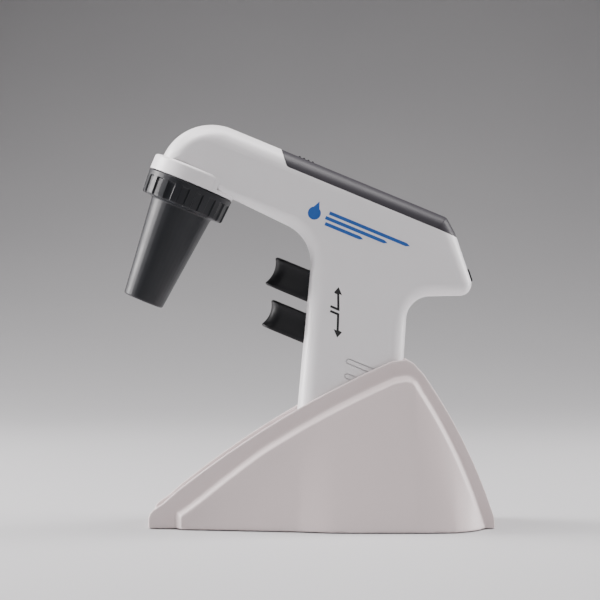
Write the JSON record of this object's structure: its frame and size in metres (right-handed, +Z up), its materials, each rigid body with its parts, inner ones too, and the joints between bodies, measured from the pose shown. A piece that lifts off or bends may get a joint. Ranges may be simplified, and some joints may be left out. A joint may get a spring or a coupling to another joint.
{
  "type": "motorized pipette controller",
  "caption": "Pistol-grip motorized pipette controller with two triggers, a fluted screw-on nosepiece and a top panel, standing in a wedge-shaped bench stand.",
  "frame": {"origin": "centre of the footprint's bounding box, at the bench surface", "axes": "+Z up, +X from the nosepiece to the rear of the barrel, +Y to the right shell"},
  "size_m": [0.1879, 0.08, 0.2041],
  "materials": {
    "white_abs": "satin moulded",
    "black_plastic": "satin moulded",
    "dark_abs": "satin moulded",
    "panel_gloss": "gloss",
    "stand_beige": "fine texture",
    "silicone": "soft",
    "steel": "plain",
    "board": "solder mask",
    "cell_wrap": "shrink film",
    "black_rubber": "soft"
  },
  "bodies": {
    "stand": {"stand_shell": "stand_beige", "stand_foot_front_near": "black_rubber", "stand_foot_front_far": "black_rubber", "stand_foot_rear_near": "black_rubber", "stand_foot_rear_far": "black_rubber"},
    "handset": {"shell_left": "white_abs", "shell_right": "white_abs", "top_panel": "panel_gloss", "nose_collar": "white_abs", "nose_seal": "black_rubber", "handle_cap": "white_abs", "battery_pack": "cell_wrap", "battery_contact": "steel", "circuit_board": "board", "pump_motor": "steel", "pump_head": "dark_abs", "pump_cap": "black_plastic", "air_manifold": "dark_abs", "air_tube_pump": "silicone", "air_tube_valve": "silicone", "micro_switch_upper": "black_plastic", "micro_switch_lower": "black_plastic", "valve_body_upper": "dark_abs", "valve_body_lower": "dark_abs", "speed_slide_base": "steel", "charging_socket": "black_plastic", "charging_bezel": "black_plastic", "shell_screw_1": "steel", "shell_screw_2": "steel", "shell_screw_3": "steel", "shell_screw_4": "steel", "shell_screw_5": "steel", "spring_upper": "steel", "spring_lower": "steel"},
    "trigger_upper": {"trigger_upper": "black_plastic", "valve_stem_upper": "steel"},
    "trigger_lower": {"trigger_lower": "black_plastic", "valve_stem_lower": "steel"},
    "speed_slider": {"speed_slider": "black_plastic"},
    "motor_rotor": {"motor_rotor": "steel"},
    "nose_carriage": {"pipette_holder": "silicone", "membrane_filter": "white_abs"},
    "nosepiece": {"nosepiece": "dark_abs"}
  },
  "joints": [
    {"name": "lift_out", "type": "slide", "parent": "stand", "child": "handset", "axis": [0.0807, 0, 0.9967], "range_m": [0, 0.095]},
    {"name": "press_upper_trigger", "type": "slide", "parent": "handset", "child": "trigger_upper", "axis": [0.9239, 0, -0.3827], "range_m": [0, 0.006], "stiffness_N_per_m": 250, "springref_m": -0.003, "deforming": ["spring_upper"]},
    {"name": "press_lower_trigger", "type": "slide", "parent": "handset", "child": "trigger_lower", "axis": [0.9239, 0, -0.3827], "range_m": [0, 0.006], "stiffness_N_per_m": 250, "springref_m": -0.003, "deforming": ["spring_lower"]},
    {"name": "slide_speed_switch", "type": "slide", "parent": "handset", "child": "speed_slider", "axis": [0.9239, 0, -0.3827], "range_m": [0, 0.004]},
    {"name": "motor_spin", "type": "hinge", "parent": "handset", "child": "motor_rotor", "pos_m": [-0.00779, 0, 0.16757], "axis": [0.9239, 0, -0.3827], "continuous": true},
    {"name": "nose_travel", "type": "slide", "parent": "handset", "child": "nose_carriage", "axis": [-0.3827, 0, -0.9239], "range_m": [0, 0.012]},
    {"name": "unscrew_nosepiece", "type": "hinge", "parent": "nose_carriage", "child": "nosepiece", "pos_m": [-0.05915, 0, 0.17423], "axis": [-0.3827, 0, -0.9239], "range_deg": [0, 1440]}
  ],
  "couplings": [
    {"joint": "unscrew_nosepiece", "follows": "nose_travel", "rad_per_m": 2094.4}
  ]
}
